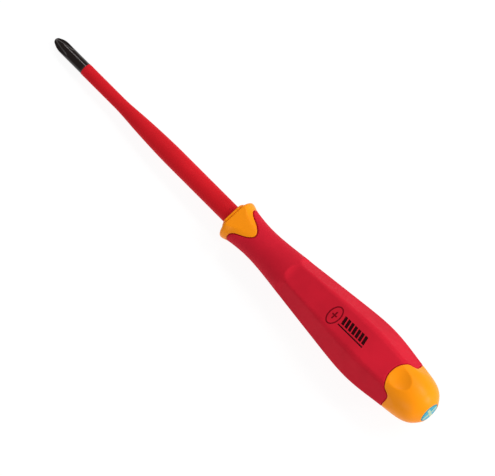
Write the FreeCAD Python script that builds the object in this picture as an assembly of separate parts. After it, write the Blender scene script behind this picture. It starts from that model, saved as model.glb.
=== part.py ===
"""Insulated cross-tip screwdriver with a six-sided moulded handle.

Millimetres. The origin is the apex of the drive tip, on the tool's axis. +X runs back along the
blade to the butt of the handle. +Z points out of the handle flat that carries the printed mark.
Lengths called *_X are stations along the axis, counted from the apex.
"""
import FreeCAD, Part
import math
import os

# Steel blade: a cross tip on a bar that is thin under the slim end of the sleeve.
TIP_R = 2.5
TIP_NOSE_X = 0.6
TIP_NOSE_R = 1.22
TIP_START_SLOPE = 0.5
TIP_OUTLINE = ((1.9, 1.82), (3.2, 2.26))
TIP_ROUND_X = 5.2
SHOULDER_X = 17.0
NECK_R = 1.7
NECK_END_X = 39.0
BAR_START_X = 60.0
BAR_R = 2.5
BLADE_END_X = 176.0
BLADE_CHAMFER = 0.6
WING_X = (150.0, 164.0)
WING_HALF_WIDTH = 4.6
WING_HALF_THICKNESS = 1.5

# Flutes of the cross tip: round-bottomed channels that run out of the surface.
FLUTE_COUNT = 4
FLUTE_R = 1.45
FLUTE_CORE_R = 0.45
FLUTE_RUN_OUT_X = 8.6
FLUTE_OVERRUN = 2.0

# Insulating sleeve on the blade: slim, then tapering up to full thickness.
SLIM_R = 2.58
SLIM_END_X = 36.0
SLEEVE_TAPER = ((46.0, 3.11), (56.5, 3.67))
SLEEVE_FULL_X = 68.0
SLEEVE_R = 3.95
SLEEVE_FRONT_CHAMFER = 0.2
SPIGOT_R = 3.6
SPIGOT_END_X = 124.0

# Front of the handle: a nose plate with bulging sides, a groove and a flared finger guard with
# two flats.
NOSE_X = 101.15
NOSE_HALF_WIDTH = 6.4
NOSE_HALF_HEIGHT = 7.0
NOSE_SIDE_R = 11.8
NOSE_CORNER_R = 0.8
NOSE_CHAMFER = 0.3
GROOVE_X = (101.95, 102.25)
GROOVE_DEPTH = 0.4
GUARD_X = 102.15
GUARD_FACE_R = 8.2
GUARD_SHOULDER = (102.36, 8.57)
GUARD_TOP = (102.9, 8.8)
GUARD_FLAT_Z = 7.2
GUARD_FLAT_END_X = 117.0

# Outline of the round handle body, from the guard's top to the rim around the end disc.
BODY_OUTLINE = (
    (104.8, 8.3), (108.5, 7.58), (112.5, 7.2), (116.5, 7.1), (122.0, 7.38), (130.0, 8.22),
    (140.0, 9.42), (155.0, 11.12), (166.0, 12.33), (172.5, 12.88), (177.5, 13.0), (183.0, 12.7),
    (190.0, 11.86), (196.0, 11.02), (201.5, 10.3), (204.2, 9.72), (206.5, 8.82), (208.4, 7.46),
)
RIM_X = 210.7
RIM_R = 4.7
RIM_SLOPE = -1.45

# Six flats around the grip: distance from the axis to the flat, along the handle.
FLAT_COUNT = 6
FLAT_OUTLINE = (
    (132.3, 9.5), (133.4, 8.62), (134.8, 8.06), (137.4, 8.08), (143.0, 8.66), (150.0, 9.4),
    (163.0, 10.82), (171.0, 11.54), (177.5, 11.76), (184.0, 11.36), (190.0, 10.72),
    (195.0, 10.34), (199.0, 10.4), (202.5, 10.9),
)
CUT_REACH = 16.0

# Lines where the soft grip meets its neighbours, drawn in the XY plane from the middle outwards
# and mirrored: a bell-shaped tongue of the collar, and a round lobe of the end cap. They are the
# same above and below.
TONGUE_EDGE = (
    (114.3, 0.0), (113.3, 1.85), (110.85, 3.45), (107.55, 5.0), (106.1, 6.2), (105.35, 7.6),
    (104.8, 8.9),
)
LOBE_EDGE = (
    (191.4, 0.0), (192.1, 3.5), (193.35, 5.75), (194.4, 6.7), (196.0, 7.35), (196.7, 8.1),
    (196.65, 8.9), (196.2, 10.0), (195.7, 11.3),
)

# Thumb dish in each lobe: a ball-shaped hollow.
DISH_X = 196.7
DISH_R = 13.5
DISH_FLOOR_Z = 9.63

# Hard core moulded around the tang, with slots that key the soft grip.
CORE_X = (102.6, 206.0)
CORE_OUTLINE = ((122.0, 5.1), (150.0, 7.2), (176.0, 8.5), (194.0, 7.8))
CORE_FRONT_R = 5.0
CORE_REAR_R = 6.2
SLOT_COUNT = 6
SLOT_WIDTH = 2.4
SLOT_FLOOR = ((128.0, 4.7), (150.0, 6.2), (174.0, 7.4), (188.0, 7.0))

# Disc in the butt, with a cross inlaid in its face.
DISC_R = 4.3
DISC_X = (209.2, 211.1)
DISC_EDGE_R = 0.35
CROSS_LENGTH = 7.4
CROSS_WIDTH = 1.25
CROSS_DEPTH = 0.6

AXIS_POINT = FreeCAD.Vector(0, 0, 0)
AXIS = FreeCAD.Vector(1, 0, 0)

# How far a cutter reaches past what it cuts, and how close two positions count as the same.
CUT_MARGIN = 1.0
SAME = 0.01


def at(x, z):
    """A point of an outline that is revolved about the tool's axis."""
    return FreeCAD.Vector(x, 0, z)


def line(start, end):
    return Part.LineSegment(start, end).toShape()


def polyline(points):
    return [line(start, end) for start, end in zip(points, points[1:])]


def arc(start, middle, end):
    return Part.Arc(start, middle, end).toShape()


def spline(points, start_tangent=None, end_tangent=None):
    """A smooth curve through the points, with its end directions fixed if they are given."""
    curve = Part.BSplineCurve()
    if start_tangent is None:
        curve.interpolate(points)
    else:
        curve.interpolate(Points=points, InitialTangent=start_tangent, FinalTangent=end_tangent)
    return curve.toShape()


def revolved(edges):
    """A solid of revolution about the tool's axis from the closed outline in the XZ plane."""
    face = Part.Face(Part.Wire(edges))
    return face.revolve(AXIS_POINT, AXIS, 360)


def turned(shape, degrees):
    copy = shape.copy()
    copy.rotate(AXIS_POINT, AXIS, degrees)
    return copy


def block(x_range, half_y, half_z):
    corner = FreeCAD.Vector(x_range[0], -half_y, -half_z)
    return Part.makeBox(x_range[1] - x_range[0], 2 * half_y, 2 * half_z, corner)


def edges_along_axis(shape):
    return [edge for edge in shape.Edges if abs(edge.tangentAt(edge.FirstParameter).x) > 1 - SAME]


def nose_plate(x_range, inset):
    """A plate across the axis, flat above and below and bulging at its sides."""
    side_r = NOSE_SIDE_R - inset
    side_y = NOSE_HALF_WIDTH - NOSE_SIDE_R
    plate = block(x_range, NOSE_HALF_WIDTH, NOSE_HALF_HEIGHT - inset)
    for side in (-1, 1):
        corner = FreeCAD.Vector(x_range[0], side * side_y, 0)
        plate = plate.common(Part.makeCylinder(side_r, x_range[1] - x_range[0], corner, AXIS))
    return plate.makeFillet(NOSE_CORNER_R - inset, edges_along_axis(plate))


def side_of_seam(half_edge, end_x):
    """Everything between a seam line and a station beyond it, through the handle's height."""
    half = [FreeCAD.Vector(x, y, 0) for x, y in half_edge]
    mirrored = [FreeCAD.Vector(p.x, -p.y, 0) for p in reversed(half[1:])]
    seam = mirrored + half
    outer_x = half[-1].x
    rest = polyline([
        seam[-1], FreeCAD.Vector(outer_x, CUT_REACH, 0), FreeCAD.Vector(end_x, CUT_REACH, 0),
        FreeCAD.Vector(end_x, -CUT_REACH, 0), FreeCAD.Vector(outer_x, -CUT_REACH, 0), seam[0],
    ])
    face = Part.Face(Part.Wire([spline(seam)] + rest))
    face.translate(FreeCAD.Vector(0, 0, -CUT_REACH))
    return face.extrude(FreeCAD.Vector(0, 0, 2 * CUT_REACH))


def one_solid(shape):
    """The shape as a single clean solid."""
    solids = shape.removeSplitter().Solids
    assert len(solids) == 1, f"expected one solid, found {len(solids)}"
    return solids[0]


def blade_bar():
    """The turned bar, from the blunt nose to the chamfered end of the tang."""
    ball_r = (TIP_NOSE_X ** 2 + TIP_NOSE_R ** 2) / (2 * TIP_NOSE_X)
    middle_r = TIP_NOSE_R / 2
    middle_x = ball_r - math.sqrt(ball_r ** 2 - middle_r ** 2)
    nose = arc(at(0, 0), at(middle_x, middle_r), at(TIP_NOSE_X, TIP_NOSE_R))
    tip_points = [at(TIP_NOSE_X, TIP_NOSE_R)]
    tip_points += [at(x, r) for x, r in TIP_OUTLINE]
    tip_points += [at(TIP_ROUND_X, TIP_R)]
    tip = spline(tip_points, at(1, TIP_START_SLOPE), AXIS)
    rest = polyline([
        at(TIP_ROUND_X, TIP_R), at(SHOULDER_X, TIP_R), at(SHOULDER_X, NECK_R),
        at(NECK_END_X, NECK_R), at(BAR_START_X, BAR_R), at(BLADE_END_X - BLADE_CHAMFER, BAR_R),
        at(BLADE_END_X, BAR_R - BLADE_CHAMFER), at(BLADE_END_X, 0), at(0, 0),
    ])
    return revolved([nose, tip] + rest)


def flute():
    """The cutter for one flute: a cylinder that leans out until it clears the bar."""
    start_z = FLUTE_CORE_R + FLUTE_R
    end_z = TIP_R + FLUTE_R
    lean = FreeCAD.Vector(FLUTE_RUN_OUT_X, 0, end_z - start_z)
    back = FLUTE_OVERRUN / lean.Length
    start = at(0, start_z) - lean * back
    return Part.makeCylinder(FLUTE_R, lean.Length * (1 + 2 * back), start, lean)


def blade():
    bar = blade_bar()
    wings = block(WING_X, WING_HALF_WIDTH, WING_HALF_THICKNESS)
    bar = bar.fuse(wings)
    for index in range(FLUTE_COUNT):
        bar = bar.cut(turned(flute(), 45 + 360 / FLUTE_COUNT * index))
    return one_solid(bar)


def sleeve_body():
    """The sleeve's outside, solid through: the exposed part, then the spigot in the handle."""
    front_r = SLIM_R - SLEEVE_FRONT_CHAMFER
    front = polyline([
        at(SHOULDER_X, 0), at(SHOULDER_X, front_r),
        at(SHOULDER_X + SLEEVE_FRONT_CHAMFER, SLIM_R), at(SLIM_END_X, SLIM_R),
    ])
    taper_points = [at(SLIM_END_X, SLIM_R)]
    taper_points += [at(x, r) for x, r in SLEEVE_TAPER]
    taper_points += [at(SLEEVE_FULL_X, SLEEVE_R)]
    taper = spline(taper_points, AXIS, AXIS)
    rear = polyline([
        at(SLEEVE_FULL_X, SLEEVE_R), at(NOSE_X, SLEEVE_R),
        at(NOSE_X + SLEEVE_R - SPIGOT_R, SPIGOT_R), at(SPIGOT_END_X, SPIGOT_R),
        at(SPIGOT_END_X, 0), at(SHOULDER_X, 0),
    ])
    return revolved(front + [taper] + rear)


def core_body():
    """The core's outside, slotted along its length."""
    outline = [at(CORE_X[0], CORE_FRONT_R)]
    outline += [at(x, r) for x, r in CORE_OUTLINE]
    outline += [at(CORE_X[1], CORE_REAR_R)]
    rest = polyline([at(CORE_X[1], CORE_REAR_R), at(CORE_X[1], 0), at(CORE_X[0], 0), outline[0]])
    body = revolved([spline(outline)] + rest)
    return body.cut(core_slots())


def core_slots():
    """Channels that follow the core's outside and leave its middle solid."""
    floor = [at(x, r) for x, r in SLOT_FLOOR]
    top = polyline([floor[-1], at(floor[-1].x, CUT_REACH), at(floor[0].x, CUT_REACH), floor[0]])
    face = Part.Face(Part.Wire([spline(floor)] + top))
    face.translate(FreeCAD.Vector(0, -SLOT_WIDTH / 2, 0))
    channel = face.extrude(FreeCAD.Vector(0, SLOT_WIDTH, 0))
    channels = [turned(channel, 360 / SLOT_COUNT * index) for index in range(SLOT_COUNT)]
    return channels[0].multiFuse(channels[1:])


def round_body():
    """The handle before its flats are cut: guard, waist, belly and dome."""
    guard_shoulder = arc(at(GUARD_X, GUARD_FACE_R), at(*GUARD_SHOULDER), at(*GUARD_TOP))
    side = [at(*GUARD_TOP)] + [at(x, r) for x, r in BODY_OUTLINE] + [at(RIM_X, RIM_R)]
    rest = polyline([side[-1], at(RIM_X, 0), at(GUARD_X, 0), at(GUARD_X, GUARD_FACE_R)])
    return revolved([guard_shoulder, spline(side, AXIS, at(1, RIM_SLOPE))] + rest)


def nose():
    """The chamfered plate in front of the guard, and the neck of the groove behind it."""
    plate = nose_plate((NOSE_X, GROOVE_X[0]), 0)
    front_edges = [edge for edge in plate.Edges if edge.BoundBox.XMax < NOSE_X + SAME]
    plate = plate.makeChamfer(NOSE_CHAMFER, front_edges)
    return plate.fuse(nose_plate(GROOVE_X, GROOVE_DEPTH))


def flat_cutter():
    """What one flat takes off the body; its distance from the axis varies along the handle."""
    floor = [at(x, z) for x, z in FLAT_OUTLINE]
    top = polyline([floor[-1], at(floor[-1].x, CUT_REACH), at(floor[0].x, CUT_REACH), floor[0]])
    face = Part.Face(Part.Wire([spline(floor)] + top))
    face.translate(FreeCAD.Vector(0, -CUT_REACH, 0))
    return face.extrude(FreeCAD.Vector(0, 2 * CUT_REACH, 0))


def guard_flat_cutter():
    """What the flat above the guard takes off."""
    corner = FreeCAD.Vector(GUARD_X, -CUT_REACH, GUARD_FLAT_Z)
    return Part.makeBox(GUARD_FLAT_END_X - GUARD_X, 2 * CUT_REACH, CUT_REACH, corner)


def dish_cutter():
    """The ball that leaves the hollow in a lobe."""
    return Part.makeSphere(DISH_R, at(DISH_X, DISH_FLOOR_Z + DISH_R))


def handle_envelope():
    """The handle's whole outside, with every flat and dish cut."""
    body = round_body().fuse(nose())
    for side in (0, 180):
        body = body.cut(turned(guard_flat_cutter(), side))
    for index in range(FLAT_COUNT):
        body = body.cut(turned(flat_cutter(), 360 / FLAT_COUNT * index))
    for side in (0, 180):
        body = body.cut(turned(dish_cutter(), side))
    return one_solid(body)


def disc_body():
    """The end disc with a rounded front edge, before the cross is cut in it."""
    face_x = DISC_X[1]
    edge_x = face_x - DISC_EDGE_R
    bend = DISC_EDGE_R * (1 - math.sqrt(0.5))
    edge = arc(
        at(edge_x, DISC_R), at(face_x - bend, DISC_R - bend), at(face_x, DISC_R - DISC_EDGE_R),
    )
    back = polyline([
        at(face_x, DISC_R - DISC_EDGE_R), at(face_x, 0), at(DISC_X[0], 0), at(DISC_X[0], DISC_R),
        at(edge_x, DISC_R),
    ])
    return revolved([edge] + back)


def drive_symbol():
    """The cross inlaid flush in the end disc."""
    x_range = (DISC_X[1] - CROSS_DEPTH, DISC_X[1])
    upright = block(x_range, CROSS_WIDTH / 2, CROSS_LENGTH / 2)
    level = block(x_range, CROSS_LENGTH / 2, CROSS_WIDTH / 2)
    return one_solid(upright.fuse(level))


def build_parts():
    """Every piece by node name. Neighbours meet face to face."""
    blade_solid = blade()
    sleeve = sleeve_body().cut(blade_solid)
    core_outside = core_body()
    envelope = handle_envelope()
    front = side_of_seam(TONGUE_EDGE, NOSE_X - CUT_MARGIN)
    rear = side_of_seam(LOBE_EDGE, DISC_X[1] + CUT_MARGIN)
    inside = core_outside.fuse(sleeve_body())
    symbol = drive_symbol()
    collar = envelope.common(front).cut(inside)
    grip = envelope.cut(front).cut(rear).cut(inside)
    cap = envelope.common(rear).cut(inside).cut(disc_body())
    core = core_outside.cut(sleeve_body()).cut(blade_solid)
    return {
        "blade": blade_solid,
        "blade_sleeve": one_solid(sleeve),
        "handle_core": one_solid(core),
        "front_collar": one_solid(collar),
        "soft_grip": one_solid(grip),
        "end_cap": one_solid(cap),
        "end_disc": one_solid(disc_body().cut(symbol)),
        "drive_symbol": symbol,
    }


def main():
    os.makedirs("parts", exist_ok=True)
    for node, shape in build_parts().items():
        assert shape.isValid(), f"{node} is not a valid solid"
        shape.exportStep(f"parts/{node}.step")
        print(f"{node}: {shape.Volume:.1f} mm3")


main()
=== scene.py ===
"""Looks for the insulated screwdriver: skins, materials, floor, light and camera.

Shapes are worked out in millimetres in the CAD frame and written to Blender in metres. The tool's
axis is +X, counted from the apex of the drive tip. A skin is a grid of rows around that axis: an
angle of 0 points along +Z and grows towards +Y.
"""

import math

import bpy
import numpy as np
from mathutils import Matrix, Vector


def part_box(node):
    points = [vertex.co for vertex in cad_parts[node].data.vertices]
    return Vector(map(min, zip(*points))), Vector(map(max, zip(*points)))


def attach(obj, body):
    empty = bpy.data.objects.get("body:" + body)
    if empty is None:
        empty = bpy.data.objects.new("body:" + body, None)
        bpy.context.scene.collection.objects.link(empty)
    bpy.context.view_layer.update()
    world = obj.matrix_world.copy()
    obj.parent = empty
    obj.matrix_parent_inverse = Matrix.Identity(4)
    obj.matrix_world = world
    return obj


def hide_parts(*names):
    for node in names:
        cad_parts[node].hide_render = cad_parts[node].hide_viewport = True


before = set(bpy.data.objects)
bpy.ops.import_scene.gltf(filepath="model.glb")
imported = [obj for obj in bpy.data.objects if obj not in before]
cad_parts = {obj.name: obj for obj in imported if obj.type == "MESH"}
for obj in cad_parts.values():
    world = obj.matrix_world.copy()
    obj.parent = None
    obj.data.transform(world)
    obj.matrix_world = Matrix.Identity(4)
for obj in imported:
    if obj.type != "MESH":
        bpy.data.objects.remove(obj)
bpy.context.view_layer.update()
MM = 0.001


def node_box(node):
    """The lowest and highest corner of a CAD node, in millimetres."""
    return [np.array(corner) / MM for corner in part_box(node)]


# Stations and radii that the frame gives.
NOSE_X = node_box("front_collar")[0][0]
RIM_X = node_box("end_cap")[1][0]
SLEEVE_X = (node_box("blade_sleeve")[0][0], node_box("blade_sleeve")[1][0])
SLEEVE_R = node_box("blade_sleeve")[1][2]
BLADE_END_X = node_box("blade")[1][0]
DISC_X = (node_box("end_disc")[0][0], node_box("end_disc")[1][0])
DISC_R = node_box("end_disc")[1][2]

# Handle outline and flats, as in the CAD model but a hair inside it at the belly.
BODY_OUTLINE = (
    (102.9, 8.8), (104.8, 8.3), (108.5, 7.58), (112.5, 7.2), (116.5, 7.1), (122.0, 7.38),
    (130.0, 8.22), (140.0, 9.42), (155.0, 11.12), (166.0, 12.33), (172.5, 12.88), (177.5, 12.998),
    (183.0, 12.7), (190.0, 11.86), (196.0, 11.02), (201.5, 10.3), (204.2, 9.72), (206.5, 8.82),
    (208.4, 7.46), (210.7, 4.7),
)
FLAT_OUTLINE = (
    (132.3, 9.5), (133.4, 8.62), (134.8, 8.06), (137.4, 8.08), (143.0, 8.66), (150.0, 9.4),
    (163.0, 10.82), (171.0, 11.54), (177.5, 11.755), (184.0, 11.36), (190.0, 10.72),
    (195.0, 10.34), (199.0, 10.4), (202.5, 10.9),
)
FLAT_COUNT = 6
FLAT_LIP = 0.28
GUARD_X = 102.15
GUARD_FACE_R = 8.2
GUARD_TOP_X, GUARD_TOP_R = BODY_OUTLINE[0]
GUARD_FLAT_Z = 7.2
GUARD_FLAT_END_X = 117.0
GUARD_BEND = (0.55, 0.35)
GUARD_LIP = 0.25
RIM_R = 4.7
RIM_SLOPE = -1.45

# Smallest cosine that a distance is divided by, a number that only keeps zero out of a division,
# a distance beyond every surface, and the clearance between parts that fit closely.
MIN_COSINE = 0.05
TINY = 1e-9
NO_CUT = 99.0
HAIR = 0.01


class Outline:
    """A smooth curve y(x) through a few points; an end slope that isn't given is left free."""

    def __init__(self, points, start_slope=None, end_slope=None):
        self.x = np.array([p[0] for p in points], float)
        self.y = np.array([p[1] for p in points], float)
        self.slope = self._slopes(start_slope, end_slope)

    def _slopes(self, start_slope, end_slope):
        """Slopes at the points that keep the curvature continuous."""
        n = len(self.x)
        h = np.diff(self.x)
        rise = np.diff(self.y) / h
        matrix = np.zeros((n, n))
        right = np.zeros(n)
        for i in range(1, n - 1):
            matrix[i, i - 1] = h[i]
            matrix[i, i] = 2 * (h[i] + h[i - 1])
            matrix[i, i + 1] = h[i - 1]
            right[i] = 3 * (h[i] * rise[i - 1] + h[i - 1] * rise[i])
        if start_slope is None:
            matrix[0, :2] = 2, 1
            right[0] = 3 * rise[0]
        else:
            matrix[0, 0] = 1
            right[0] = start_slope
        if end_slope is None:
            matrix[-1, -2:] = 1, 2
            right[-1] = 3 * rise[-1]
        else:
            matrix[-1, -1] = 1
            right[-1] = end_slope
        return np.linalg.solve(matrix, right)

    def __call__(self, x):
        x = np.clip(x, self.x[0], self.x[-1])
        i = np.clip(np.searchsorted(self.x, x) - 1, 0, len(self.x) - 2)
        h = self.x[i + 1] - self.x[i]
        t = (x - self.x[i]) / h
        start = (1 + 2 * t) * (1 - t) ** 2 * self.y[i] + t * (1 - t) ** 2 * h * self.slope[i]
        end = t ** 2 * (3 - 2 * t) * self.y[i + 1] + t ** 2 * (t - 1) * h * self.slope[i + 1]
        return start + end


def soft_min(a, b, width):
    """The smaller of two distances, with the corner between them rounded over the width."""
    h = np.clip(0.5 + 0.5 * (b - a) / width, 0, 1)
    return b * (1 - h) + a * h - width * h * (1 - h)


body_radius = Outline(BODY_OUTLINE, 0.0, RIM_SLOPE)
flat_distance = Outline(FLAT_OUTLINE)


def flat_reach(distance, angle, direction):
    """Distance from the axis, along each angle, to a flat that faces a direction."""
    return distance / np.maximum(np.cos(angle - direction), MIN_COSINE)


def upright(angle):
    """How steeply each angle points up or down, from almost 0 to 1."""
    return np.maximum(np.abs(np.cos(angle)), MIN_COSINE)


def guard_flat(x):
    """Distance of the two guard flats from the axis; they bend down at the guard's front edge."""
    length, depth = GUARD_BEND
    share = np.clip((GUARD_X + length - x) / length, 0, 1)
    return GUARD_FLAT_Z - depth * share ** 2


# Dishes in the two lobes of the end cap.
DISH_X = 196.7
DISH_R = 13.5
DISH_CENTRE_Z = 9.63 + DISH_R
DISH_LIP = 0.2


def dish_distance(x, angle):
    """Distance from the axis to the ball-shaped dishes in the two lobes."""
    nearest = DISH_CENTRE_Z * np.abs(np.cos(angle))
    reach = nearest ** 2 + DISH_R ** 2 - DISH_CENTRE_Z ** 2 - (x - DISH_X) ** 2
    return np.where(reach > 0, nearest - np.sqrt(np.maximum(reach, 0)), NO_CUT)


def skin(x, angle):
    """Distance from the axis to the handle's outside."""
    r = body_radius(x)
    no_flats = (x <= FLAT_OUTLINE[0][0]) | (x >= FLAT_OUTLINE[-1][0])
    for index in range(FLAT_COUNT):
        flat = flat_reach(flat_distance(x), angle, index * 2 * math.pi / FLAT_COUNT)
        r = np.where(no_flats, r, soft_min(r, flat, FLAT_LIP))
    guard = soft_min(r, guard_flat(x) / upright(angle), GUARD_LIP)
    r = np.where(x < GUARD_FLAT_END_X, guard, r)
    return soft_min(r, dish_distance(x, angle), DISH_LIP)


# Rows and seams of the moulded skins. A lip is a width along the skin and a depth. The search for a
# seam starts a margin outside its line and halves the gap at every step.
COLUMNS = 360
ANGLES = np.arange(COLUMNS) * 2 * math.pi / COLUMNS
SHELL = 1.5
SEAM_GAP = 0.03
SOFT_LIP = (0.4, 0.25)
SOFT_LEDGE = 0.4
HARD_LIP = (0.2, 0.2)
LEDGE_DEPTH = 0.75
LIP_TURNS = (0.0, 0.25, 0.5, 0.75, 1.0)
SEARCH_MARGIN = 0.5
SEARCH_STEPS = 40

# Lines where the grip meets its neighbours: station by distance from the middle.
TONGUE_EDGE = Outline((
    (0.0, 114.3), (1.85, 113.3), (3.45, 110.85), (5.0, 107.55), (6.2, 106.1), (7.6, 105.35),
    (8.9, 104.8),
), 0.0)
LOBE_EDGE = Outline((
    (0.0, 191.4), (3.5, 192.1), (5.75, 193.35), (6.7, 194.4), (7.35, 196.0), (8.1, 196.7),
    (8.9, 196.65), (10.0, 196.2), (11.3, 195.7),
), 0.0)


def quarter(turn):
    """How far a quarter turn has gone across and along, from 0 to 1 each."""
    angle = turn * math.pi / 2
    return 1 - math.cos(angle), math.sin(angle)


def edge_stations(edge):
    """Where an outline drawn in the XY plane meets the skin, for every column."""
    low = np.full(COLUMNS, edge.y.min() - SEARCH_MARGIN)
    high = np.full(COLUMNS, edge.y.max() + SEARCH_MARGIN)
    for _ in range(SEARCH_STEPS):
        middle = (low + high) / 2
        behind = middle > edge(np.abs(skin(middle, ANGLES) * np.sin(ANGLES)))
        high = np.where(behind, middle, high)
        low = np.where(behind, low, middle)
    return (low + high) / 2


def ring(x, r):
    """One row at a station, round or shaped."""
    return (np.zeros(COLUMNS) + x, np.zeros(COLUMNS) + r, ANGLES)


def skin_row(x, angle, depth=0.0):
    """One row on the skin or sunk below it."""
    return (x, skin(x, angle) - depth, angle)


def seam_rows(stations, side, lip, ledge=0.0):
    """Rows that round a piece's edge over and down into the seam; side is +1 behind the edge. The
    lip is its width along the skin and its depth; the ledge is the width of the sunken strip
    between the lip and the seam."""
    radius = skin(stations, ANGLES)
    slope = (np.roll(stations, -1) - np.roll(stations, 1)) / (2 * (ANGLES[1] - ANGLES[0]))
    lean = -slope / radius
    length = np.hypot(1, lean)

    def row(inset, depth):
        x = stations + side * inset / length
        return skin_row(x, ANGLES + side * inset * lean / length / radius, depth)

    rows = []
    for turn in LIP_TURNS:
        across, along = quarter(turn)
        rows.append(row(SEAM_GAP + ledge + lip[0] * (1 - along), lip[1] * across))
    if ledge > 0:
        rows += [row(SEAM_GAP + ledge, LEDGE_DEPTH), row(SEAM_GAP, LEDGE_DEPTH)]
    rows.append(row(SEAM_GAP, SHELL))
    return rows


def rows_between(first, last, count, depth=0.0):
    """Rows that follow the skin between two rows, without repeating either."""
    rows = []
    for index in range(1, count):
        t = index / count
        x = first[0] * (1 - t) + last[0] * t
        angle = first[2] * (1 - t) + last[2] * t
        rows.append(skin_row(x, angle, depth))
    return rows


def box_radius(half_y, half_z, corner_r):
    """Distance from the axis to a rectangle with rounded corners, for every column."""
    y = np.maximum(np.abs(np.sin(ANGLES)), TINY)
    z = np.maximum(np.abs(np.cos(ANGLES)), TINY)
    r = np.minimum(half_y / y, half_z / z)
    at_corner = (r * y > half_y - corner_r) & (r * z > half_z - corner_r)
    middle = (half_y - corner_r) * y + (half_z - corner_r) * z
    past = middle ** 2 - (half_y - corner_r) ** 2 - (half_z - corner_r) ** 2 + corner_r ** 2
    return np.where(at_corner, middle + np.sqrt(np.maximum(past, 0)), r)


def points_of(rows):
    """The rows' points in metres, one after another."""
    return np.concatenate([
        np.stack([x, r * np.sin(angle), r * np.cos(angle)], 1) for x, r, angle in rows
    ]) * MM


def tube_faces(count, looped):
    """Quads between neighbouring rows; a looped grid also joins its last row to its first."""
    faces = []
    for i in range(count if looped else count - 1):
        here = i * COLUMNS
        there = (i + 1) % count * COLUMNS
        for j in range(COLUMNS):
            k = (j + 1) % COLUMNS
            faces.append((here + j, there + j, there + k, here + k))
    return faces


def mesh_of(name, points, faces):
    """A mesh from points in metres and faces."""
    mesh = bpy.data.meshes.new(name)
    mesh.from_pydata(points.tolist(), [], faces)
    mesh.update()
    return mesh


def looped_mesh(name, rows):
    """A closed ring-shaped mesh: the rows go out, round and back to the first."""
    return mesh_of(name, points_of(rows), tube_faces(len(rows), True))


def capped_mesh(name, rows):
    """A closed bar-shaped mesh, with a fan over each end row."""
    points = points_of(rows)
    faces = tube_faces(len(rows), False)
    tail = (len(rows) - 1) * COLUMNS
    ends = np.array([[rows[0][0].mean(), 0, 0], [rows[-1][0].mean(), 0, 0]]) * MM
    first = len(points)
    for j in range(COLUMNS):
        k = (j + 1) % COLUMNS
        faces.append((first, j, k))
        faces.append((first + 1, tail + k, tail + j))
    return mesh_of(name, np.concatenate([points, ends]), faces)


COLLAR_EDGE = edge_stations(TONGUE_EDGE)
CAP_EDGE = edge_stations(LOBE_EDGE)

# Steps along the skins, outside and inside.
GRIP_STEPS = (215, 24)
COLLAR_STEPS = 40
CAP_STEPS = 90


def grip_mesh():
    """The soft grip, hollow, with its edges rounded into the two seams."""
    front = seam_rows(COLLAR_EDGE, 1, SOFT_LIP, SOFT_LEDGE)
    rear = seam_rows(CAP_EDGE, -1, SOFT_LIP, SOFT_LEDGE)
    outside = rows_between(front[0], rear[0], GRIP_STEPS[0])
    inside = rows_between(rear[-1], front[-1], GRIP_STEPS[1], SHELL)
    return looped_mesh("grip_skin", front[::-1] + outside + rear + inside)


# Nose plate: stations behind the front face, and how far the outline has drawn in there.
NOSE_HALF = (6.4, 7.0)
NOSE_SIDE_R = 11.8
NOSE_LIP = 0.7
NOSE_STEPS = (
    (0.0, 0.3), (0.04, 0.2), (0.14, 0.08), (0.28, 0.0), (0.6, 0.0), (0.72, 0.02), (0.78, 0.08),
    (0.8, 0.2), (0.82, 0.4), (1.06, 0.4),
)

# Steps round the guard's shoulder, and the station and radius of the core's front end.
GUARD_TURNS = 12
CORE_FRONT = (102.6, 5.0)


def nose_outline(inset):
    """Distance from the axis to the nose plate's edge: flat above and below, bulging sides."""
    side_y = NOSE_HALF[0] - NOSE_SIDE_R
    across = side_y * np.abs(np.sin(ANGLES))
    side = across + np.sqrt(across ** 2 - side_y ** 2 + (NOSE_SIDE_R - inset) ** 2)
    return soft_min(side, (NOSE_HALF[1] - inset) / upright(ANGLES), NOSE_LIP)


def nose_rows():
    """The nose plate's broken edge and side, and the groove behind it."""
    return [ring(NOSE_X + step, nose_outline(inset)) for step, inset in NOSE_STEPS]


def guard_rows():
    """The guard's rounded shoulder, from its front face to its top."""
    rows = []
    for index in range(GUARD_TURNS):
        across, along = quarter(index / GUARD_TURNS)
        x = GUARD_X + (GUARD_TOP_X - GUARD_X) * across
        r = GUARD_FACE_R + (GUARD_TOP_R - GUARD_FACE_R) * along
        rows.append(ring(x, soft_min(r, guard_flat(x) / upright(ANGLES), GUARD_LIP)))
    return rows


def collar_mesh():
    """Nose plate, groove, guard and tongues, with a bore for the core and the sleeve."""
    rear = seam_rows(COLLAR_EDGE, -1, HARD_LIP)
    top = skin_row(np.full(COLUMNS, GUARD_TOP_X), ANGLES)
    outside = nose_rows() + guard_rows() + [top] + rows_between(top, rear[0], COLLAR_STEPS) + rear
    bore = [ring(*CORE_FRONT), ring(CORE_FRONT[0], SLEEVE_R), ring(NOSE_X, SLEEVE_R)]
    return looped_mesh("collar_skin", outside + bore)


# Pocket for the disc, and the cap's inside, as stations and radii.
POCKET_RIM = 0.12
CAP_INSIDE = ((208.2, 4.3), (206.3, 6.7), (204.0, 7.4))


def cap_mesh():
    """Lobes, dishes and dome, with a pocket for the disc in the butt."""
    front = seam_rows(CAP_EDGE, 1, HARD_LIP)
    rim = ring(RIM_X - POCKET_RIM, skin(RIM_X - POCKET_RIM, ANGLES))
    outside = front[::-1] + rows_between(front[0], rim, CAP_STEPS) + [rim]
    pocket = [
        ring(RIM_X, RIM_R - POCKET_RIM), ring(RIM_X, DISC_R + POCKET_RIM),
        ring(RIM_X - POCKET_RIM, DISC_R), ring(DISC_X[0], DISC_R),
    ]
    return looped_mesh("cap_skin", outside + pocket + [ring(x, r) for x, r in CAP_INSIDE])


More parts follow.
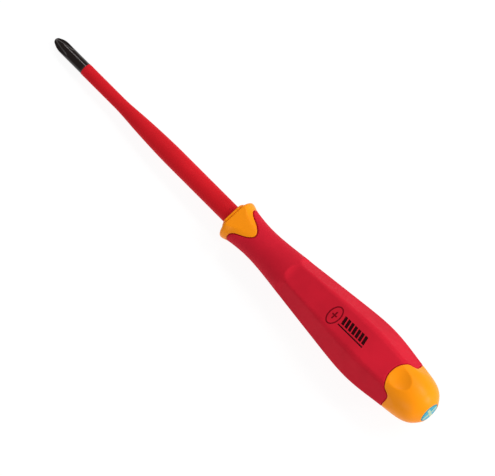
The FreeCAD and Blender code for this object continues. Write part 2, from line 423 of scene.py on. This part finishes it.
# Cross in the disc's face: half length and half width of its bars, and how deep and how proud it is.
CROSS_HALF = (3.7, 0.62)
CROSS_CORNER_R = 0.1
CROSS_FOOT = 0.4
CROSS_PROUD = 0.05
CROSS_SHARES = (0.8, 0.6, 0.4, 0.2)

# Disc: station of its face in the middle, its crown, its rolled edge, and radii of rings on it.
DISC_CLEARANCE = 0.05
DISC_FACE_X = DISC_X[1] - CROSS_PROUD - HAIR
DISC_CROWN = 0.2
DISC_EDGE = 0.3
DISC_RINGS = (3.8, 3.4, 3.0, 2.4, 1.8, 1.2, 0.6)


def disc_face(r):
    """Station of the disc's crowned face at a distance from the axis."""
    return DISC_FACE_X - DISC_CROWN * (r / DISC_R) ** 2


def disc_mesh():
    """The disc, with a crowned face, a rolled front edge and a broken back edge."""
    outer_r = DISC_R - DISC_CLEARANCE
    edge_x = disc_face(outer_r) - DISC_EDGE
    rows = [
        ring(DISC_X[0] + DISC_CLEARANCE, outer_r - DISC_EDGE),
        ring(DISC_X[0] + DISC_EDGE, outer_r),
    ]
    for turn in LIP_TURNS:
        across, along = quarter(turn)
        rows.append(ring(edge_x + DISC_EDGE * along, outer_r - DISC_EDGE * across))
    rows += [ring(disc_face(r), r) for r in DISC_RINGS]
    return capped_mesh("disc_face", rows)


def cross_outline(inset):
    """Distance from the axis to the edge of two crossed bars."""
    long_half, short_half = CROSS_HALF[0] - inset, CROSS_HALF[1] - inset
    level = box_radius(long_half, short_half, CROSS_CORNER_R)
    standing = box_radius(short_half, long_half, CROSS_CORNER_R)
    return np.maximum(level, standing)


def cross_mesh():
    """The cross inlaid in the disc's face, a hair proud of it, with broken edges."""
    outline = cross_outline(0.0)
    inner = cross_outline(CROSS_PROUD)
    rows = [
        ring(disc_face(outline) - CROSS_FOOT, outline), ring(disc_face(outline), outline),
        ring(disc_face(inner) + CROSS_PROUD, inner),
    ]
    for share in CROSS_SHARES:
        rows.append(ring(disc_face(inner * share) + CROSS_PROUD, inner * share))
    return capped_mesh("cross_inlay", rows)


# Blade: outline of the tip behind its ball nose, flutes, neck, bar and wings. The fluted stations
# are the first, the end and the step.
TIP_R = 2.5
TIP_NOSE = (0.6, 1.22)
TIP_OUTLINE = Outline((TIP_NOSE, (1.9, 1.82), (3.2, 2.26), (5.2, TIP_R)), 0.5, 0.0)
TIP_BALL_X = (0.02, 0.08, 0.16, 0.26, 0.4, 0.55)
TIP_FLUTED_X = (0.7, 9.6, 0.13)
FLUTE_COUNT = 4
FLUTE_R = 1.45
FLUTE_CORE_R = 0.45
FLUTE_RUN_OUT_X = 8.6
FLUTE_LIP = 0.12
NECK_R = 1.7
NECK_END_X = 39.0
BAR_START_X = 60.0
BAR_CHAMFER = 0.6
WING_X = (150.0, 164.0)
WING_HALF = (4.6, 1.5)
WING_CHAMFER = 0.3
SHANK_ROWS = (10.2, SLEEVE_X[0], 12)


def tip_radius(x):
    """The turned outside of the tip, before its flutes."""
    if x < TIP_NOSE[0]:
        ball_r = (TIP_NOSE[0] ** 2 + TIP_NOSE[1] ** 2) / (2 * TIP_NOSE[0])
        return math.sqrt(ball_r ** 2 - (ball_r - x) ** 2)
    return float(TIP_OUTLINE(x))


def flute_radius(x):
    """Distance from the axis to the four flutes at a station; large where there is none."""
    middle = FLUTE_CORE_R + FLUTE_R + (TIP_R - FLUTE_CORE_R) * x / FLUTE_RUN_OUT_X
    r = np.full(COLUMNS, NO_CUT)
    for index in range(FLUTE_COUNT):
        turn = ANGLES - (index + 0.5) * 2 * math.pi / FLUTE_COUNT
        reach = FLUTE_R ** 2 - (middle * np.sin(turn)) ** 2
        near = middle * np.cos(turn) - np.sqrt(np.maximum(reach, 0))
        r = np.where((reach > 0) & (np.cos(turn) > 0), np.minimum(r, near), r)
    return r


def tip_rows():
    """The tip's rows, from its blunt ball nose to where its flutes have run out."""
    stations = TIP_BALL_X + tuple(np.arange(*TIP_FLUTED_X))
    return [ring(x, soft_min(tip_radius(x), flute_radius(x), FLUTE_LIP)) for x in stations]


def blade_mesh():
    """The whole blade: fluted tip, shank, thin neck, bar and the wings on its tang."""
    wings = np.maximum(box_radius(*WING_HALF, WING_CHAMFER), TIP_R + HAIR)
    rows = tip_rows()
    rows += [ring(x, TIP_R) for x in np.linspace(*SHANK_ROWS)]
    rows += [
        ring(SLEEVE_X[0] + HAIR, NECK_R), ring(NECK_END_X, NECK_R), ring(BAR_START_X, TIP_R),
        ring(WING_X[0] - WING_CHAMFER, TIP_R), ring(WING_X[0], wings), ring(WING_X[1], wings),
        ring(WING_X[1] + WING_CHAMFER, TIP_R), ring(BLADE_END_X - BAR_CHAMFER, TIP_R),
        ring(BLADE_END_X, TIP_R - BAR_CHAMFER),
    ]
    return capped_mesh("blade_bar", rows)


# Sleeve: slim part, taper, hidden spigot and wall. Rows are the first and last station and a count.
SLIM_R = 2.58
SLIM_END_X = 36.0
TAPER_END_X = 68.0
SLEEVE_TAPER = Outline(
    ((SLIM_END_X, SLIM_R), (46.0, 3.11), (56.5, 3.67), (TAPER_END_X, SLEEVE_R)), 0.0, 0.0
)
SLEEVE_EDGE = 0.2
SPIGOT_R = 3.6
SLIM_ROWS = (18.0, 35.0, 12)
TAPER_ROWS = (SLIM_END_X, TAPER_END_X, 60)
FULL_ROWS = (70.0, NOSE_X, 14)
SLEEVE_BORE = ((BAR_START_X, TIP_R), (NECK_END_X, NECK_R), (SLEEVE_X[0], NECK_R))


def sleeve_mesh():
    """The insulating tube: rounded front edge, slim part, taper, full part and hidden spigot."""
    rows = []
    for turn in LIP_TURNS:
        across, along = quarter(turn)
        x = SLEEVE_X[0] + SLEEVE_EDGE * across
        rows.append(ring(x, SLIM_R - SLEEVE_EDGE * (1 - along)))
    rows += [ring(x, SLIM_R) for x in np.linspace(*SLIM_ROWS)]
    rows += [ring(x, SLEEVE_TAPER(x)) for x in np.linspace(*TAPER_ROWS)]
    rows += [ring(x, SLEEVE_R) for x in np.linspace(*FULL_ROWS)]
    rows += [ring(NOSE_X + SLEEVE_R - SPIGOT_R, SPIGOT_R), ring(SLEEVE_X[1], SPIGOT_R)]
    rows += [ring(SLEEVE_X[1], TIP_R + HAIR)]
    rows += [ring(x, r + HAIR) for x, r in SLEEVE_BORE]
    return looped_mesh("sleeve_tube", rows)


# Printed mark on the top flat: a ring with a cross in it, then plain slanted blocks and a rule.
INK_HEIGHT = 0.004
INK_DEPTH = 0.06
HEIGHT_STEPS = 12
BAR_GRID = (24, 5)
RING_COLUMNS = 96
MARK_CENTRE = (159.9, -0.5)
MARK_RING_HALF = (2.5, 3.9)
MARK_RING_WIDTH = 0.55
MARK_CROSS_HALF = (1.2, 1.7)
MARK_CROSS_BAR_HALF = 0.32
MARK_BLOCK_X = (164.2, 177.4)
MARK_BLOCK_Y = (-1.15, 2.3)
MARK_BLOCK_COUNT = 7
MARK_BLOCK_SHARE = 0.72
MARK_SLANT = 0.9
MARK_RULE = ((163.4, 177.0), (-2.3, -1.75))


def on_top_flat(x, y):
    """Height of the skin above the axis plane at (x, y) on the flat that faces +Z."""
    z = np.zeros_like(x) + flat_distance(x)
    for _ in range(HEIGHT_STEPS):
        angle = np.arctan2(y, z)
        z = np.sqrt(skin(x, angle) ** 2 - y ** 2)
    return z


def ink_patch(grid, looped):
    """Points and faces of a thin closed patch on the top flat from a grid of (x, y) points. A
    looped grid closes on itself along its columns."""
    rows, columns = grid.shape[:2]
    x, y = grid[..., 0].ravel(), grid[..., 1].ravel()
    z = on_top_flat(x, y)
    top = np.stack([x, y, z + INK_HEIGHT], 1)
    bottom = np.stack([x, y, z - INK_DEPTH], 1)
    size = rows * columns
    faces = []
    for i in range(rows - 1):
        for j in range(columns if looped else columns - 1):
            k = (j + 1) % columns
            quad = (i * columns + j, (i + 1) * columns + j, (i + 1) * columns + k, i * columns + k)
            faces.append(quad)
            faces.append(tuple(size + point for point in reversed(quad)))
    for rim in rim_loops(rows, columns, looped):
        for a, b in zip(rim, rim[1:] + rim[:1]):
            faces.append((a, b, size + b, size + a))
    return np.concatenate([top, bottom]) * MM, faces


def rim_loops(rows, columns, looped):
    """The grid's border points in order, one loop for a patch and two for a ring."""
    first = list(range(columns))
    last = [(rows - 1) * columns + j for j in range(columns)]
    if looped:
        return [first, last[::-1]]
    right = [i * columns + columns - 1 for i in range(1, rows - 1)]
    left = [i * columns for i in range(rows - 2, 0, -1)]
    return [first + right + last[::-1] + left]


def bar_grid(x_range, y_range, slant=0.0):
    """A grid over a rectangle, with its far side shifted along by the slant."""
    columns, rows = BAR_GRID
    x, y = np.meshgrid(np.linspace(*x_range, columns), np.linspace(*y_range, rows))
    share = (y - y_range[0]) / (y_range[1] - y_range[0])
    return np.stack([x + slant * share, y], -1)


def oval_grid(centre, half, width):
    """A looped grid along an oval line of the given width."""
    turn = np.arange(RING_COLUMNS) * 2 * math.pi / RING_COLUMNS
    offset = np.array([[width / 2], [-width / 2]])
    x = centre[0] + (half[0] + offset) * np.cos(turn)
    y = centre[1] + (half[1] + offset) * np.sin(turn)
    return np.stack([x, y], -1)


def mark_patches():
    """The grids of the whole mark, each with whether it is looped."""
    x, y = MARK_CENTRE
    half_x, half_y = MARK_CROSS_HALF
    bar = MARK_CROSS_BAR_HALF
    grids = [(oval_grid(MARK_CENTRE, MARK_RING_HALF, MARK_RING_WIDTH), True)]
    grids.append((bar_grid((x - bar, x + bar), (y - half_y, y + half_y)), False))
    for side in (-1, 1):
        ends = sorted((x + side * bar, x + side * half_x))
        grids.append((bar_grid(ends, (y - bar, y + bar)), False))
    pitch = (MARK_BLOCK_X[1] - MARK_BLOCK_X[0]) / MARK_BLOCK_COUNT
    for index in range(MARK_BLOCK_COUNT):
        start = MARK_BLOCK_X[0] + index * pitch
        ends = (start, start + pitch * MARK_BLOCK_SHARE)
        grids.append((bar_grid(ends, MARK_BLOCK_Y, -MARK_SLANT), False))
    grids.append((bar_grid(*MARK_RULE), False))
    return grids


def mark_mesh():
    """All patches of the mark in one mesh."""
    points, faces, count = [], [], 0
    for grid, looped in mark_patches():
        patch, patch_faces = ink_patch(grid, looped)
        faces += [tuple(count + point for point in face) for face in patch_faces]
        points.append(patch)
        count += len(patch)
    return mesh_of("printed_mark", np.concatenate(points), faces)


# Materials. Colours are linear, lengths in metres. The mix sockets are a colour mix's two colours
# and its result.
UNIT = (0.0, 1.0)
MIX_LOW = 6
MIX_HIGH = 7
MIX_RESULT = 2


class Shader:
    """A node material under construction: one principled shader and what feeds it."""

    def __init__(self, name, roughness, specular, metallic=0.0):
        self.material = bpy.data.materials.new(name)
        self.material.use_nodes = True
        self.nodes = self.material.node_tree.nodes
        self.links = self.material.node_tree.links
        self.surface = self.nodes["Principled BSDF"]
        self.surface.inputs["Roughness"].default_value = roughness
        self.surface.inputs["Specular IOR Level"].default_value = specular
        self.surface.inputs["Metallic"].default_value = metallic
        self.place = self.nodes.new("ShaderNodeTexCoord").outputs["Object"]

    def stretched(self, scale):
        """The object's own coordinates, scaled differently along each axis."""
        node = self.nodes.new("ShaderNodeMapping")
        node.inputs["Scale"].default_value = scale
        self.links.new(self.place, node.inputs["Vector"])
        return node.outputs["Vector"]

    def noise(self, pattern, place=None):
        """Noise of a pattern: the size of its features in metres, and how many finer layers."""
        node = self.nodes.new("ShaderNodeTexNoise")
        node.inputs["Scale"].default_value = 1 / pattern[0]
        node.inputs["Detail"].default_value = pattern[1]
        self.links.new(place or self.place, node.inputs["Vector"])
        return node.outputs["Fac"]

    def mapped(self, value, source, target=UNIT):
        """The value carried from one range to another, and held at its ends."""
        node = self.nodes.new("ShaderNodeMapRange")
        node.inputs["From Min"].default_value = source[0]
        node.inputs["From Max"].default_value = source[1]
        node.inputs["To Min"].default_value = target[0]
        node.inputs["To Max"].default_value = target[1]
        self.links.new(value, node.inputs["Value"])
        return node.outputs["Result"]

    def mixed(self, share, low, high):
        """A colour between two, each a colour or another node's output."""
        node = self.nodes.new("ShaderNodeMix")
        node.data_type = "RGBA"
        self.links.new(share, node.inputs["Factor"])
        for socket, colour in ((node.inputs[MIX_LOW], low), (node.inputs[MIX_HIGH], high)):
            if isinstance(colour, tuple):
                socket.default_value = (*colour, 1.0)
            else:
                self.links.new(colour, socket)
        return node.outputs[MIX_RESULT]

    def colour(self, output):
        """Feeds the shader's colour."""
        self.links.new(output, self.surface.inputs["Base Color"])

    def uneven_gloss(self, value, source, spread):
        """Roughness that follows a value over a range, by up to the spread either way."""
        socket = self.surface.inputs["Roughness"]
        middle = socket.default_value
        target = (middle - spread, middle + spread)
        self.links.new(self.mapped(value, source, target), socket)

    def bump(self, *layers):
        """Bumps on top of each other, each a height output with its depth in metres."""
        previous = None
        for height, depth in layers:
            node = self.nodes.new("ShaderNodeBump")
            node.inputs["Distance"].default_value = depth
            node.inputs["Strength"].default_value = 1.0
            self.links.new(height, node.inputs["Height"])
            if previous is not None:
                self.links.new(previous, node.inputs["Normal"])
            previous = node.outputs["Normal"]
        self.links.new(previous, self.surface.inputs["Normal"])

    def edge_wear(self, pointiness):
        """How much a spot is a worn convex edge, from 0 to 1 over a range of pointiness."""
        geometry = self.nodes.new("ShaderNodeNewGeometry")
        return self.mapped(geometry.outputs["Pointiness"], pointiness)

    def multiplied(self, a, b):
        """The product of two outputs."""
        node = self.nodes.new("ShaderNodeMath")
        node.operation = "MULTIPLY"
        self.links.new(a, node.inputs[0])
        self.links.new(b, node.inputs[1])
        return node.outputs[0]


def scaled(colour, factor):
    """A colour made darker or lighter."""
    return tuple(channel * factor for channel in colour)


# Colours.
GRIP_RED = (0.54, 0.011, 0.027)
HARD_YELLOW = (0.89, 0.268, 0.004)
SLEEVE_RED = (0.58, 0.01, 0.017)
BLACK_OXIDE = (0.009, 0.003, 0.002)
BARE_STEEL = (0.2, 0.18, 0.165)
DISC_BLUE = (0.02, 0.31, 0.44)
DISC_TEAL = (0.03, 0.25, 0.3)
CROSS_CREAM = (0.32, 0.46, 0.3)
CORE_NATURAL = (0.55, 0.5, 0.42)
INK_DARK = (0.02, 0.001, 0.002)
INK_RED = (0.14, 0.001, 0.005)
PAPER_DARK = (0.13, 0.13, 0.13)
PAPER_LIGHT = (0.15, 0.15, 0.15)
WHITE = (1.0, 1.0, 1.0, 1.0)

# Each plastic's colour, roughness, specular level, how far its colour varies, and the size and depth
# of its fine grain.
PLASTICS = {
    "grip_rubber": (GRIP_RED, 0.62, 0.04, 0.05, (0.00035, 0.000012)),
    "hard_yellow": (HARD_YELLOW, 0.34, 0.09, 0.03, (0.0005, 0.000006)),
    "sleeve_plastic": (SLEEVE_RED, 0.5, 0.04, 0.04, (0.0006, 0.000005)),
    "core_plastic": (CORE_NATURAL, 0.45, 0.3, 0.05, (0.0005, 0.000008)),
    "cross_cream": (CROSS_CREAM, 0.35, 0.35, 0.04, (0.0003, 0.000004)),
}

# What all plastics share: cloudy colour, uneven gloss, slow waviness, and the layers of their grain.
CLOUD_RANGE = (0.3, 0.7)
PLASTIC_CLOUD = (0.009, 2.0)
PLASTIC_GLOSS = (0.0025, 4.0)
PLASTIC_GLOSS_SPREAD = 0.06
MOULD_WAVE = (0.006, 1.0)
MOULD_WAVE_DEPTH = 0.00004
GRAIN_LAYERS = 2.0


def plastic(name):
    """A plastic's cloudy colour and uneven gloss, and its grain as a layer for the bump."""
    colour, roughness, specular, variation, grain = PLASTICS[name]
    shader = Shader(name, roughness, specular)
    cloud = shader.mapped(shader.noise(PLASTIC_CLOUD), CLOUD_RANGE)
    low, high = scaled(colour, 1 - variation), scaled(colour, 1 + variation)
    shader.colour(shader.mixed(cloud, low, high))
    shader.uneven_gloss(shader.noise(PLASTIC_GLOSS), CLOUD_RANGE, PLASTIC_GLOSS_SPREAD)
    return shader, (shader.noise((grain[0], GRAIN_LAYERS)), grain[1])


def moulded(name):
    """A moulded plastic: a slow waviness with a fine grain on it."""
    shader, grain = plastic(name)
    shader.bump((shader.noise(MOULD_WAVE), MOULD_WAVE_DEPTH), grain)
    return shader.material


# Drawing lines along the sleeve.
DRAWN_LINES = (0.0004, 2.0)
DRAWN_STRETCH = (0.02, 1.0, 1.0)
DRAWN_DEPTH = 0.000012


def sleeve_material():
    """Extruded plastic, with faint drawing lines along the blade."""
    shader, grain = plastic("sleeve_plastic")
    lines = shader.noise(DRAWN_LINES, shader.stretched(DRAWN_STRETCH))
    shader.bump((lines, DRAWN_DEPTH), grain)
    return shader.material


# Steel: turning marks, blotches in the oxide, and the sharpness of an edge where it is rubbed off.
TURNED_LINES = (0.0002, 3.0)
TURNED_STRETCH = (1.0, 0.1, 0.1)
TURNED_DEPTH = 0.000005
STEEL_BLOTCH = (0.0016, 4.0)
STEEL_BLOTCH_RANGE = (0.4, 0.75)
STEEL_WEAR_RANGE = (0.52, 0.6)
STEEL_GLOSS_SPREAD = 0.055


def blade_material():
    """Blackened steel, rubbed grey on its edges, with faint turning marks."""
    shader = Shader("black_oxide_steel", roughness=0.205, specular=0.42, metallic=0.3)
    turning = shader.noise(TURNED_LINES, shader.stretched(TURNED_STRETCH))
    blotch = shader.mapped(shader.noise(STEEL_BLOTCH), STEEL_BLOTCH_RANGE)
    worn = shader.multiplied(shader.edge_wear(STEEL_WEAR_RANGE), blotch)
    shader.colour(shader.mixed(worn, BLACK_OXIDE, BARE_STEEL))
    shader.uneven_gloss(blotch, UNIT, STEEL_GLOSS_SPREAD)
    shader.bump((turning, TURNED_DEPTH))
    return shader.material


def from_axis(shader):
    """Distance of a spot from the tool's axis, in metres."""
    flat = shader.stretched((0.0, 1.0, 1.0))
    node = shader.nodes.new("ShaderNodeVectorMath")
    node.operation = "LENGTH"
    shader.links.new(flat, node.inputs[0])
    return node.outputs["Value"]


# Disc: distances from the axis between which it turns teal, its cloudy colour and its grain.
DISC_RIM_RANGE = (0.0034, 0.0038)
DISC_CLOUD = (0.0015, 2.0)
DISC_VARIATION = 0.07
DISC_GLOSS_SPREAD = 0.06
DISC_GRAIN = (0.0003, 2.0)
DISC_GRAIN_DEPTH = 0.000004


def disc_material():
    """Pale blue plastic that darkens to teal towards its rolled edge."""
    shader = Shader("disc_plastic", roughness=0.32, specular=0.1)
    rim = shader.mapped(from_axis(shader), DISC_RIM_RANGE)
    cloud = shader.mapped(shader.noise(DISC_CLOUD), CLOUD_RANGE)
    low, high = scaled(DISC_BLUE, 1 - DISC_VARIATION), scaled(DISC_BLUE, 1 + DISC_VARIATION)
    shader.colour(shader.mixed(rim, shader.mixed(cloud, low, high), DISC_TEAL))
    shader.uneven_gloss(cloud, UNIT, DISC_GLOSS_SPREAD)
    shader.bump((shader.noise(DISC_GRAIN), DISC_GRAIN_DEPTH))
    return shader.material


# Ink: where it gets thicker along the tool, its speckle, how much lighter a speckle is in the thin
# and in the thick ink, and its relief.
INK_THICK_RANGE = (0.1633, 0.1641)
INK_SPECKLE = (0.00025, 3.0)
INK_SPECKLE_RANGE = (0.35, 0.7)
INK_LIGHTER = (1.4, 1.6)
INK_GLOSS_SPREAD = 0.08
INK_RELIEF = 0.000005


def ink_material():
    """Pad-printed ink: dark where the blocks are, thinner and redder in the ring."""
    shader = Shader("printed_ink", roughness=0.5, specular=0.04)
    split = shader.nodes.new("ShaderNodeSeparateXYZ")
    shader.links.new(shader.place, split.inputs["Vector"])
    thick = shader.mapped(split.outputs["X"], INK_THICK_RANGE)
    speckle = shader.mapped(shader.noise(INK_SPECKLE), INK_SPECKLE_RANGE)
    thin = shader.mixed(speckle, INK_RED, scaled(INK_RED, INK_LIGHTER[0]))
    dark = shader.mixed(speckle, INK_DARK, scaled(INK_DARK, INK_LIGHTER[1]))
    shader.colour(shader.mixed(thick, thin, dark))
    shader.uneven_gloss(speckle, UNIT, INK_GLOSS_SPREAD)
    shader.bump((speckle, INK_RELIEF))
    return shader.material


# Paper: its tone, its grain and the light that shines through it.
PAPER_CLOUD = (0.05, 2.0)
PAPER_GRAIN = (0.0008, 2.0)
PAPER_GRAIN_DEPTH = 0.00001
PAPER_GLOW = 0.9


def paper_material():
    """The pale floor: a lit table under matt paper, with a breath of tone."""
    shader = Shader("floor_paper", roughness=0.9, specular=0.05)
    cloud = shader.mapped(shader.noise(PAPER_CLOUD), CLOUD_RANGE)
    shader.colour(shader.mixed(cloud, PAPER_DARK, PAPER_LIGHT))
    shader.bump((shader.noise(PAPER_GRAIN), PAPER_GRAIN_DEPTH))
    shader.surface.inputs["Emission Color"].default_value = WHITE
    shader.surface.inputs["Emission Strength"].default_value = PAPER_GLOW
    return shader.material


# Pieces.
SHARP_ANGLE = math.radians(50)


def add_piece(name, mesh, material, node=None):
    """Shades a mesh smooth, gives it its material and fixes it to the frame."""
    mesh.shade_smooth()
    mesh.set_sharp_from_angle(angle=SHARP_ANGLE)
    mesh.materials.append(material)
    piece = bpy.data.objects.new(name, mesh)
    bpy.context.scene.collection.objects.link(piece)
    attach(piece, "root")
    if node:
        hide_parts(node)


def add_pieces():
    """The eight visible pieces; the hidden core keeps its CAD shape and gets a material."""
    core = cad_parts["handle_core"]
    core.data.materials.clear()
    core.data.materials.append(moulded("core_plastic"))
    red = moulded("grip_rubber")
    yellow = moulded("hard_yellow")
    cream = moulded("cross_cream")
    add_piece("grip_skin", grip_mesh(), red, "soft_grip")
    add_piece("collar_skin", collar_mesh(), yellow, "front_collar")
    add_piece("cap_skin", cap_mesh(), yellow, "end_cap")
    add_piece("disc_face", disc_mesh(), disc_material(), "end_disc")
    add_piece("cross_inlay", cross_mesh(), cream, "drive_symbol")
    add_piece("blade_bar", blade_mesh(), blade_material(), "blade")
    add_piece("sleeve_tube", sleeve_mesh(), sleeve_material(), "blade_sleeve")
    add_piece("printed_mark", mark_mesh(), ink_material())


# Floor: the tool lies on its belly and its tip, each a station and a height in millimetres.
BELLY = (177.5, -11.79)
TIP_REST = (5.2, -2.52)
FLOOR_HALF = 4.0

# Camera: how far the tool is turned around its axis and leant back, then in metres the point that
# is looked at and its distance, and the lens in millimetres.
LEAN = math.radians(7.0)
RISE = math.radians(16.5)
AIM_X = 0.1107
AIM_ACROSS = -0.0019
DISTANCE = 6.0
LENS = 1142.0
AXIS = Vector((1, 0, 0))
FROM_FLAT = Vector((0, -math.sin(LEAN), math.cos(LEAN)))
ACROSS = Vector((0, math.cos(LEAN), math.sin(LEAN)))
TOWARD = FROM_FLAT * math.cos(RISE) + AXIS * math.sin(RISE)
ALONG = (AXIS - TOWARD * math.sin(RISE)) / math.cos(RISE)
AIM = AXIS * AIM_X + ACROSS * AIM_ACROSS

# Soft boxes: where they stand, as parts across the tool, out of its marked flat and along its axis,
# then distance, width and height, and power.
LIGHTS = {
    "key": ((0.66, 0.52, 0.42), 0.9, (0.35, 0.6), 4.7),
    "kicker": ((0.46, 0.1, 0.88), 0.8, (0.14, 0.14), 2.3),
    "fill": ((-0.8, 0.5, 0.45), 1.1, (0.5, 0.8), 3.2),
    "front": ((0.6, 0.65, -0.36), 0.9, (0.12, 0.3), 1.2),
}
WORLD_STRENGTH = 0.4


def add_floor():
    """A wide square under the tool, tilted so that the belly and the tip rest on it."""
    run = BELLY[0] - TIP_REST[0]
    slope = (BELLY[1] - TIP_REST[1]) / run
    corners = []
    for x, y in ((-1, -1), (1, -1), (1, 1), (-1, 1)):
        z = (TIP_REST[1] - TIP_REST[0] * slope) * MM + slope * x * FLOOR_HALF
        corners.append((x * FLOOR_HALF, y * FLOOR_HALF, z))
    mesh = mesh_of("floor", np.array(corners), [(0, 1, 2, 3)])
    mesh.materials.append(paper_material())
    floor = bpy.data.objects.new("floor", mesh)
    bpy.context.scene.collection.objects.link(floor)


def turned_to(location, target, up):
    """A matrix that stands at the location and looks at the target."""
    back = (location - target).normalized()
    right = up.cross(back).normalized()
    rotation = Matrix((right, back.cross(right), back)).transposed().to_4x4()
    return Matrix.Translation(location) @ rotation


def add_light(name, place, distance, size, power):
    """A soft box that shines on the tool's middle."""
    direction = (ACROSS * place[0] + FROM_FLAT * place[1] + AXIS * place[2]).normalized()
    light = bpy.data.lights.new(name, "AREA")
    light.energy = power
    light.shape = "RECTANGLE"
    light.size, light.size_y = size
    holder = bpy.data.objects.new(name, light)
    holder.matrix_world = turned_to(AIM + direction * distance, AIM, AXIS)
    bpy.context.scene.collection.objects.link(holder)


def add_world():
    """An even white surround."""
    world = bpy.data.worlds.new("studio")
    world.use_nodes = True
    background = world.node_tree.nodes["Background"]
    background.inputs["Color"].default_value = WHITE
    background.inputs["Strength"].default_value = WORLD_STRENGTH
    bpy.context.scene.world = world


def add_camera():
    """A long lens, turned so that the tool lies along the picture's diagonal."""
    lens = bpy.data.cameras.new("camera")
    lens.lens = LENS
    camera = bpy.data.objects.new("camera", lens)
    up = (ACROSS - ALONG).normalized()
    camera.matrix_world = turned_to(AIM + TOWARD * DISTANCE, AIM, up)
    bpy.context.scene.collection.objects.link(camera)
    bpy.context.scene.camera = camera


add_pieces()
add_floor()
add_world()
for light_name, settings in LIGHTS.items():
    add_light(light_name, *settings)
add_camera()
bpy.context.scene.view_settings.view_transform = "Standard"
